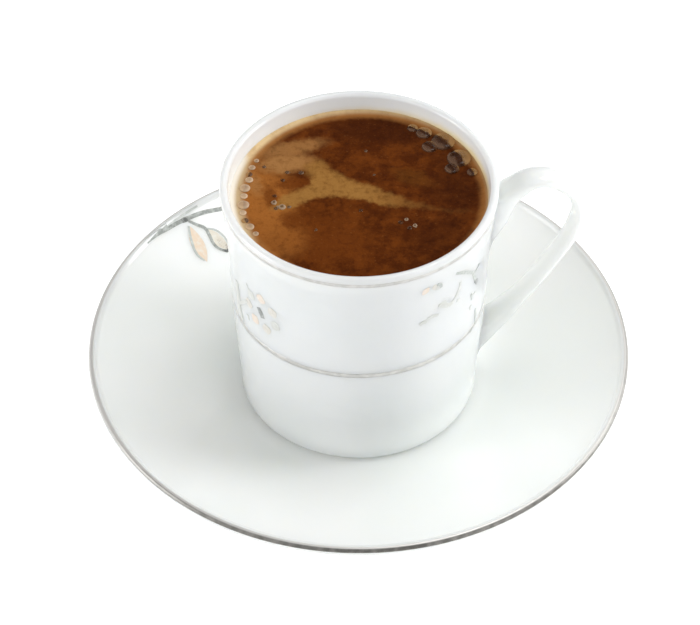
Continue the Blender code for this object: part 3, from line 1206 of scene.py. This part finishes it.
def bubble_tree():
    tree, bench, given = new_tree("bubbles", [("Sides", "Int"), ("Height", "Float"), ("Finish", "Material")])
    ball = bench.add("GeometryNodeMeshUVSphere", {}, {
        "Segments": given["Sides"],
        "Rings": given["Sides"] / 2,
        "Radius": 1.0,
    })
    ball = with_place(bench, ball, "local")
    squash = joined(bench, X=1.0, Y=1.0, Z=given["Height"])
    dome = moved_to(bench, ball, bench.vector("MULTIPLY", position(bench), squash))
    domes = bench.add("GeometryNodeInstanceOnPoints", {}, {
        "Points": given["Geometry"],
        "Instance": smoothed(bench, dome),
        "Scale": named(bench, "size"),
    })
    end_tree(bench, domes, given["Finish"])
    return tree


def with_satellites(rows, count, dice):
    """A few small bubbles pressed against each bubble of a table."""
    points = []
    for x, y, size, pale in rows:
        for _ in range(count):
            angle = dice.uniform(0.0, math.tau)
            reach = size * dice.uniform(*SATELLITE_PLACE)
            place = (x + reach * math.cos(angle), y + reach * math.sin(angle))
            if math.hypot(*place) < COFFEE_RADIUS / MM - WALL_GAP:
                points.append((*place, size * dice.uniform(*SATELLITE_SIZE), pale))
    return points


def give_points(mesh, name, kind, values):
    """Stores one number or colour for each point of a mesh, under a name."""
    field = "color" if kind == "FLOAT_COLOR" else "value"
    mesh.attributes.new(name, kind, "POINT").data.foreach_set(field, values)


def scatter_object(name, points):
    """Loose points in millimetres that carry their own size and paleness."""
    mesh = bpy.data.meshes.new(name)
    mesh.from_pydata([(x * MM, y * MM, COFFEE_LEVEL) for x, y, size, pale in points], [], [])
    give_points(mesh, "size", "FLOAT", [size * MM for x, y, size, pale in points])
    give_points(mesh, "pale", "FLOAT", [pale for x, y, size, pale in points])
    return link_piece(name, mesh)


BUBBLE_TREE = bubble_tree()
BUBBLE_FILM = bubble_film()


def blow_bubbles(name, points, sides):
    source = scatter_object(name + "_places", points)
    mesh = run_tree(source, BUBBLE_TREE, {"Sides": sides, "Height": DOME_HEIGHT, "Finish": BUBBLE_FILM})
    drop(source)
    print(name, "has", len(points), "bubbles and", triangles(mesh), "triangles")
    return link_piece(name, mesh)


bubble_dice = random.Random(BUBBLE_SEED)
fine_foam = with_satellites(SMALL_BUBBLES, SATELLITES, bubble_dice)
wall_bubbles = blow_bubbles("wall_bubbles", LARGE_BUBBLES, LARGE_SIDES)
foam_bubbles = blow_bubbles("foam_bubbles", [*LEFT_BUBBLES, *SMALL_BUBBLES, *fine_foam], SMALL_SIDES)

# %% [markdown]
# The porcelain carries a sparse spray of thin grey stems, pale peach leaves and a small
# open flower, of a kind common on tableware. It is enamel, painted flat and fired. The
# spray is drawn in a flat plane, where x runs along the surface and y up it, and trees then
# wrap it on the glaze: they turn each flat place into a ray towards the piece and keep
# the point where the ray lands. So the paint follows any curve that the porcelain has.


# %% Paint trees
FLAT_RADIUS = 28.0 * MM
DISH_RADIUS = 56.0 * MM
PAINT_LIFT = 0.03 * MM
PAINT_THICKNESS = 0.05 * MM
BRUSH_MARKS = 4.0
STEM_STEP = 0.25 * MM
LEAF_GRID = (15, 7)
LEAF_FULLNESS = 0.85
LEAF_TIP = 0.02
RAY_START = 0.1
RAY_HEIGHT = 0.05
RAY_LENGTH = 0.2


def enamel():
    material, bench = new_finish("painted_enamel")
    place = place_in_mm(bench)
    wash = noise(bench, place, 0.9, 4.0, 0.6)
    tint = attribute(bench, "tint", "Color")
    finish_shader(bench, {
        "Base Color": bench.mix(0.45 * wash.step(0.4, 0.75), tint, GLAZE_WARM),
        "Roughness": 0.22 + 0.2 * wash,
        "Normal": bump(bench, 0.3, BRUSH_DEPTH, noise(bench, place, BRUSH_MARKS)),
    })
    return material


def land(bench, flat, start, direction, given):
    """Moves every point to where its ray lands, a little proud of the glaze."""
    target = bench.add("GeometryNodeObjectInfo", {}, {"Object": given["Target"]}, "Geometry")
    sockets = {
        "Target Geometry": target,
        "Source Position": start,
        "Ray Direction": direction,
        "Ray Length": RAY_LENGTH,
    }
    ray = bench.add("GeometryNodeRaycast", {}, sockets, "Hit Position")
    normal = Wire(bench, bench.named(ray.socket.node.outputs, "Hit Normal"))
    return moved_to(bench, flat, bench.vector("ADD", ray, scaled(bench, normal, given["Lift"])))


def flat_place(bench):
    """The x and y of each point of the flat drawing."""
    return split(bench, position(bench), "X"), split(bench, position(bench), "Y")


def compass(angle, reach=1.0):
    """The x and y of a point at an angle and a distance from the axis."""
    return angle.maths("COSINE", angle) * reach, angle.maths("SINE", angle) * reach


def wrap_on_wall(bench, flat, given):
    """Flat places to rays that come from outside towards the cup's axis."""
    along, height = flat_place(bench)
    x, y = compass(given["Start angle"] + along / FLAT_RADIUS)
    outward = joined(bench, X=x, Y=y)
    far = bench.vector("MULTIPLY_ADD", outward, (RAY_START,) * 3, joined(bench, Z=height))
    return land(bench, flat, far, scaled(bench, outward, -1.0), given)


def wrap_on_dish(bench, flat, given):
    """Flat places to rays that fall straight on the saucer."""
    along, radius = flat_place(bench)
    x, y = compass(given["Start angle"] - along / DISH_RADIUS, radius)
    return land(bench, flat, joined(bench, X=x, Y=y, Z=RAY_HEIGHT), (0.0, 0.0, -1.0), given)


PAINT_INPUTS = [("Target", "Object"), ("Start angle", "Float"), ("Lift", "Float"), ("Finish", "Material")]


def stem_tree(name, wrap):
    """Smooth flat ribbons along the drawn lines, wrapped on the glaze."""
    tree, bench, given = new_tree(name, PAINT_INPUTS)
    line = bench.add("GeometryNodeMeshToCurve", {}, {"Mesh": given["Geometry"]})
    line = bench.add("GeometryNodeCurveSplineType", {"spline_type": "BEZIER"}, {"Curve": line})
    line = bench.add("GeometryNodeCurveSetHandles", {"handle_type": "AUTO"}, {"Curve": line})
    line = bench.add("GeometryNodeResampleCurve", {"mode": "LENGTH"}, {"Curve": line, "Length": STEM_STEP})
    line = bench.add("GeometryNodeSetCurveNormal", {"mode": "Z_UP"}, {"Curve": line})
    across = bench.add("GeometryNodeCurvePrimitiveLine", {}, {"Start": (-1, 0, 0), "End": (1, 0, 0)})
    ribbon = bench.add("GeometryNodeCurveToMesh", {}, {
        "Curve": line,
        "Profile Curve": across,
        "Scale": named(bench, "half_width"),
    })
    end_tree(bench, wrap(bench, ribbon, given), given["Finish"])
    return tree


def leaf_tree(name, wrap):
    """An almond leaf on every point, turned and sized by the point, then wrapped."""
    tree, bench, given = new_tree(name, PAINT_INPUTS)
    grid = bench.add("GeometryNodeMeshGrid", {}, {
        "Size X": 1.0,
        "Size Y": 1.0,
        "Vertices X": LEAF_GRID[0],
        "Vertices Y": LEAF_GRID[1],
    })
    x, y = flat_place(bench)
    arch = x.maths("SINE", ((x + 0.5) * math.pi).at_least(0.0))
    almond = joined(bench, X=x, Y=y * arch.at_least(LEAF_TIP) ** LEAF_FULLNESS)
    turn = joined(bench, Z=named(bench, "turn"))
    leaves = bench.add("GeometryNodeInstanceOnPoints", {}, {
        "Points": given["Geometry"],
        "Instance": moved_to(bench, grid, almond),
        "Rotation": bench.add("FunctionNodeEulerToRotation", {}, {"Euler": turn}),
        "Scale": joined(bench, X=named(bench, "long"), Y=named(bench, "wide"), Z=1.0),
    })
    real = bench.add("GeometryNodeRealizeInstances", {}, {"Geometry": leaves})
    end_tree(bench, wrap(bench, real, given), given["Finish"])
    return tree


WALL_STEMS = stem_tree("stems_on_wall", wrap_on_wall)
WALL_LEAVES = leaf_tree("leaves_on_wall", wrap_on_wall)
DISH_STEMS = stem_tree("stems_on_dish", wrap_on_dish)
DISH_LEAVES = leaf_tree("leaves_on_dish", wrap_on_dish)
paint = enamel()
print("paint trees ready")

# %% [markdown]
# Each spray is two short lists: strokes, which are lines with half their width, and leaves,
# which are almonds with a root, a tip and a width. Places on the cup are an angle round it
# and a height. Places on the saucer are an angle and a radius. Angles are in degrees, and
# all else is in millimetres.

# %% Drawing helpers
STEM_GREY = rgb(0.27, 0.29, 0.265)
DARK_GREY = rgb(0.10, 0.11, 0.10)
PALE_GREY = rgb(0.50, 0.53, 0.50)
PEACH = rgb(0.83, 0.66, 0.49)
BEIGE = rgb(0.58, 0.50, 0.40)
CREAM = rgb(0.76, 0.70, 0.58)
PALE_PEACH = rgb(0.80, 0.69, 0.58)
PALE_BEIGE = rgb(0.70, 0.67, 0.60)
FAINT_GREY = rgb(0.65, 0.66, 0.62)
MIST_GREY = rgb(0.46, 0.49, 0.46)
SOFT_GREY = rgb(0.28, 0.29, 0.28)
STROKE_TIP = 0.55
WALL_START = -90.0
DISH_START = 135.0


def on_wall(angle, height):
    """A place on the cup's wall in the flat plane, measured from its front."""
    return Vector((math.radians(angle - WALL_START) * FLAT_RADIUS, height * MM))


def on_dish(angle, radius):
    """A place on the saucer in the flat plane, measured from its back left."""
    return Vector((math.radians(DISH_START - angle) * DISH_RADIUS, radius * MM))


def stroke_object(name, strokes, to_flat):
    """Polylines with a half width and a tint at every point."""
    places, edges, widths, tints = [], [], [], []
    for tint, half_width, points in strokes:
        first = len(places)
        for index, (angle, reach) in enumerate(points):
            taper = STROKE_TIP + (1 - STROKE_TIP) * math.sin(math.pi * (index + 0.5) / len(points))
            places.append((*to_flat(angle, reach), 0.0))
            widths.append(half_width * MM * taper)
            tints.extend(tint)
        edges += [(first + index, first + index + 1) for index in range(len(points) - 1)]
    mesh = bpy.data.meshes.new(name)
    mesh.from_pydata(places, edges, [])
    give_points(mesh, "half_width", "FLOAT", widths)
    give_points(mesh, "tint", "FLOAT_COLOR", tints)
    return link_piece(name, mesh)


def leaf_object(name, leaves, to_flat):
    """Loose points that carry a leaf's turn, length, width and tint."""
    ends = [(to_flat(*root), to_flat(*tip)) for tint, root, tip, width in leaves]
    ways = [end - start for start, end in ends]
    mesh = bpy.data.meshes.new(name)
    mesh.from_pydata([(*((start + end) / 2), 0.0) for start, end in ends], [], [])
    give_points(mesh, "turn", "FLOAT", [math.atan2(way.y, way.x) for way in ways])
    give_points(mesh, "long", "FLOAT", [way.length for way in ways])
    give_points(mesh, "wide", "FLOAT", [width * MM for tint, root, tip, width in leaves])
    give_points(mesh, "tint", "FLOAT_COLOR", [part for tint, *rest in leaves for part in tint])
    return link_piece(name, mesh)


def thicken(name, mesh):
    """Gives the flat paint a little body, so that it is a closed shell."""
    cage = bmesh.new()
    cage.from_mesh(mesh)
    bmesh.ops.remove_doubles(cage, verts=cage.verts, dist=WELD)
    cage.to_mesh(mesh)
    cage.free()
    flat = link_piece(name + "_flat", mesh)
    body = flat.modifiers.new("body", "SOLIDIFY")
    body.thickness = PAINT_THICKNESS
    body.offset = -1.0
    solid = baked(flat)
    drop(flat)
    for face in solid.polygons:
        face.use_smooth = False
    print(name, "has", triangles(solid), "triangles")
    return link_piece(name, solid)


def paint_on(name, source, tree, target, start_angle, lift):
    values = {"Target": target, "Start angle": start_angle, "Lift": lift, "Finish": paint}
    return thicken(name, run_tree(source, tree, values))


# %% [markdown]
# The saucer's spray springs from the rim line at the back left. Its stem runs round behind
# the cup, and two leaves hang from a small knot. Behind the cup it ends in a second pair
# of leaves and a bud, which the camera doesn't see.

# %% Saucer spray
DISH_STROKES = [
    (STEM_GREY, 0.50, [(141.3, 58.5), (138.1, 58.2), (135.5, 57.8), (132.4, 57.5), (130.3, 57.2),
                       (125.6, 56.5), (120.7, 55.3), (112.0, 54.0), (103.0, 53.4), (95.0, 54.2)]),
    (STEM_GREY, 0.55, [(142.0, 58.5), (139.6, 58.5), (137.4, 58.4), (135.0, 58.2)]),
    (PALE_GREY, 0.42, [(137.4, 58.55), (133.0, 58.45), (129.0, 58.4), (125.5, 58.4)]),
    (DARK_GREY, 0.62, [(131.2, 57.3), (130.4, 57.2), (129.6, 57.0)]),
    (STEM_GREY, 0.42, [(130.0, 57.0), (129.4, 56.0), (128.7, 54.9), (127.5, 53.2), (127.8, 51.3),
                       (128.4, 49.2), (128.0, 47.5), (126.4, 46.2)]),
    (PALE_GREY, 0.34, [(130.6, 55.6), (132.9, 52.4), (134.4, 49.4), (134.2, 47.3)]),
    (PALE_GREY, 0.26, [(127.5, 53.2), (125.2, 51.4), (124.6, 48.6), (125.6, 46.4)]),
    (DARK_GREY, 0.40, [(127.6, 47.0), (126.4, 46.2), (125.4, 46.4)]),
    (STEM_GREY, 0.34, [(112.0, 54.0), (109.0, 51.5), (106.5, 48.5), (107.5, 45.5)]),
    (STEM_GREY, 0.30, [(103.0, 53.4), (99.0, 56.0), (93.0, 57.5)]),
]
DISH_LEAF_LIST = [
    (PEACH, (130.4, 55.4), (133.8, 46.8), 3.5),
    (CREAM, (127.2, 53.0), (126.0, 46.0), 3.0),
    (BEIGE, (126.6, 50.0), (126.0, 46.0), 1.8),
    (PEACH, (107.0, 48.5), (111.5, 42.5), 3.2),
    (CREAM, (106.0, 48.0), (104.0, 42.0), 3.0),
    (BEIGE, (95.0, 54.2), (88.5, 54.6), 2.2),
]

dish_strokes = stroke_object("dish_strokes", DISH_STROKES, on_dish)
dish_leaves = leaf_object("dish_leaves", DISH_LEAF_LIST, on_dish)
start = math.radians(DISH_START)
saucer_leaves = paint_on("saucer_leaves", dish_leaves, DISH_LEAVES, saucer, start, PAINT_LIFT)
saucer_stems = paint_on("saucer_stems", dish_strokes, DISH_STEMS, saucer, start, 2 * PAINT_LIFT)
drop(dish_strokes, dish_leaves)

# %% [markdown]
# The cup carries an open flower at its left and a branching spray at its right, close to
# the handle. The same drawing is wrapped once more on the far side, half a turn on.

# %% Cup sprays
FLOWER = (-142.4, 43.6)
PETAL_ENDS = (2.9, 5.7)
PETAL_WIDTH = 2.7
PETAL_TURN = 0.6
PETAL_TINTS = (PALE_BEIGE, PALE_PEACH, FAINT_GREY, PALE_BEIGE, PALE_PEACH, PALE_BEIGE, FAINT_GREY)


def flower_leaves():
    """Small petals in a ring, with a white gap round the flower's dark middle."""
    leaves = []
    degrees_a_mm = math.degrees(1 / (FLAT_RADIUS / MM))
    for index, tint in enumerate(PETAL_TINTS):
        angle = math.tau * index / len(PETAL_TINTS) + PETAL_TURN
        ends = [(FLOWER[0] + reach * math.cos(angle) * degrees_a_mm, FLOWER[1] + reach * math.sin(angle))
                for reach in PETAL_ENDS]
        leaves.append((tint, *ends, PETAL_WIDTH))
    return leaves


WALL_STROKES = [
    (SOFT_GREY, 0.75, [(-143.9, 44.6), (-142.4, 43.4), (-141.3, 42.2)]),
    (FAINT_GREY, 0.95, [(-162.5, 44.6), (-162.0, 41.5), (-161.3, 37.4), (-158.5, 34.6)]),
    (FAINT_GREY, 0.40, [(-161.0, 38.6), (-156.0, 41.2), (-152.4, 43.0)]),
    (FAINT_GREY, 0.45, [(-152.6, 48.4), (-151.2, 48.0)]),
    (FAINT_GREY, 0.45, [(-153.0, 38.6), (-152.2, 37.4)]),
    (MIST_GREY, 0.42, [(-50.7, 57.0), (-44.8, 55.0), (-40.0, 53.0), (-37.4, 51.8)]),
    (MIST_GREY, 0.40, [(-37.6, 51.8), (-35.6, 49.6), (-34.0, 48.2)]),
    (SOFT_GREY, 0.62, [(-34.9, 48.4), (-33.3, 47.6), (-32.4, 46.6)]),
    (MIST_GREY, 0.34, [(-37.4, 51.8), (-34.6, 51.4), (-32.2, 52.4)]),
    (FAINT_GREY, 0.42, [(-47.0, 53.0), (-47.2, 51.0), (-48.4, 49.6), (-49.6, 48.8)]),
    (FAINT_GREY, 0.42, [(-48.2, 47.6), (-46.4, 47.2)]),
    (FAINT_GREY, 0.62, [(-58.8, 49.8), (-55.6, 48.8), (-52.6, 48.0), (-49.6, 48.4)]),
    (FAINT_GREY, 0.44, [(-64.6, 47.0), (-61.8, 47.2), (-58.6, 46.8)]),
    (FAINT_GREY, 0.50, [(-68.2, 46.2), (-66.4, 46.6), (-64.8, 46.2)]),
    (MIST_GREY, 0.34, [(-37.4, 45.2), (-36.6, 44.4), (-36.4, 43.2)]),
    (FAINT_GREY, 0.34, [(-34.4, 44.4), (-32.6, 43.6)]),
    (FAINT_GREY, 0.34, [(-37.0, 41.6), (-36.8, 40.4)]),
    (MIST_GREY, 0.38, [(-32.2, 38.4), (-31.4, 36.0), (-30.8, 33.4)]),
    (MIST_GREY, 0.36, [(-33.4, 33.4), (-35.6, 32.6)]),
    (MIST_GREY, 0.40, [(-60.8, 57.0), (-59.2, 56.4), (-58.6, 55.4)]),
]
WALL_LEAF_LIST = flower_leaves() + [
    (PALE_PEACH, (-67.8, 56.9), (-65.0, 55.9), 2.2),
    (PALE_BEIGE, (-63.4, 56.2), (-60.4, 56.6), 1.8),
    (FAINT_GREY, (-61.6, 55.4), (-58.8, 56.4), 1.6),
    (FAINT_GREY, (-57.6, 50.2), (-54.4, 49.4), 1.2),
    (FAINT_GREY, (-160.9, 39.6), (-164.6, 42.6), 1.6),
]

wall_strokes = stroke_object("wall_strokes", WALL_STROKES, on_wall)
wall_leaves = leaf_object("wall_leaves", WALL_LEAF_LIST, on_wall)
layers = (
    ("leaves", wall_leaves, WALL_LEAVES, PAINT_LIFT),
    ("stems", wall_strokes, WALL_STEMS, 2 * PAINT_LIFT),
)
cup_sprays = []
for side, turn in (("near", 0.0), ("far", math.pi)):
    start = math.radians(WALL_START) + turn
    for kind, drawing, tree, lift in layers:
        cup_sprays.append(paint_on(f"cup_{kind}_{side}", drawing, tree, cup_wall, start, lift))
drop(wall_strokes, wall_leaves, cup_wall)

# %% [markdown]
# The picture shows the set on plain white, lit from high up and from the right, with some
# light from low on the left and soft light from everywhere else. The table is a pale floor
# that glows slightly, as a light table in a studio does, so no hard shadow falls beside the
# saucer. Soft boxes give the glaze something to reflect. Each is a name, a place and a size
# in metres, and a power in watts.

# %% Floor
HALF_FLOOR = 3.0
FLOOR_GLOW = 0.34
floor_material, floor_bench = new_finish("white_table")
floor_clouds = noise(floor_bench, place_in_mm(floor_bench), 0.01)
finish_shader(floor_bench, {
    "Base Color": floor_bench.mix(floor_clouds, rgb(0.93, 0.93, 0.93), rgb(0.95, 0.95, 0.95)),
    "Roughness": 0.9,
    "Specular IOR Level": 0.0,
    "Emission Color": rgb(1.0, 1.0, 1.0),
    "Emission Strength": FLOOR_GLOW,
})
floor_mesh = bpy.data.meshes.new("table")
floor_signs = ((-1, -1), (1, -1), (1, 1), (-1, 1))
floor_mesh.from_pydata([(x * HALF_FLOOR, y * HALF_FLOOR, 0) for x, y in floor_signs], [], [(0, 1, 2, 3)])
floor_mesh.materials.append(floor_material)
table = link_piece("table", floor_mesh)

# %% Lights
WORLD_STRENGTH = 0.28
WORLD_TINT = rgb(0.96, 0.98, 1.0)
LIGHT_AIM = Vector((0.0, 0.0, 0.02))
LIGHTS = (
    ("high", (0.24, 0.08, 0.82), 0.30, 1.40),
    ("low_right", (0.65, 0.00, 0.30), 0.30, 2.45),
    ("back", (0.15, 0.45, 0.75), 0.70, 0.65),
    ("back_right", (0.40, 0.45, 0.45), 0.70, 0.60),
    ("right", (0.60, 0.30, 0.55), 0.70, 0.30),
    ("front_left", (-0.50, -0.50, 0.50), 0.50, 0.72),
    ("low_left", (-0.70, -0.10, 0.20), 0.40, 2.50),
    ("front_right", (0.50, -0.55, 0.35), 0.50, 1.22),
)


def soft_box(name, place, size, power):
    data = bpy.data.lights.new(name, "AREA")
    data.shape = "DISK"
    data.size = size
    data.energy = power
    lamp = bpy.data.objects.new(name, data)
    lamp.location = place
    lamp.rotation_euler = (LIGHT_AIM - Vector(place)).to_track_quat("-Z", "Y").to_euler()
    bpy.context.scene.collection.objects.link(lamp)


for row in LIGHTS:
    soft_box(*row)

world = bpy.data.worlds.new("studio")
world.use_nodes = True
sky = world.node_tree.nodes["Background"].inputs
sky["Color"].default_value = WORLD_TINT
sky["Strength"].default_value = WORLD_STRENGTH
bpy.context.scene.world = world
bpy.context.scene.view_settings.view_transform = "Standard"
print(len(LIGHTS), "soft boxes")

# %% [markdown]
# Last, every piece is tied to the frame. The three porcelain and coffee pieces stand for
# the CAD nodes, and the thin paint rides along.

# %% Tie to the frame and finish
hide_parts("saucer")
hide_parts("cup")
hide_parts("coffee")
slots = {
    "saucer_glaze": [saucer, rim_line, saucer_leaves, saucer_stems],
    "cup_glaze": [cup, lip_line, waist_line, *cup_sprays],
    "coffee_foam": [coffee, wall_bubbles, foam_bubbles],
}
for slot, pieces in slots.items():
    for piece in pieces:
        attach(piece, "root")
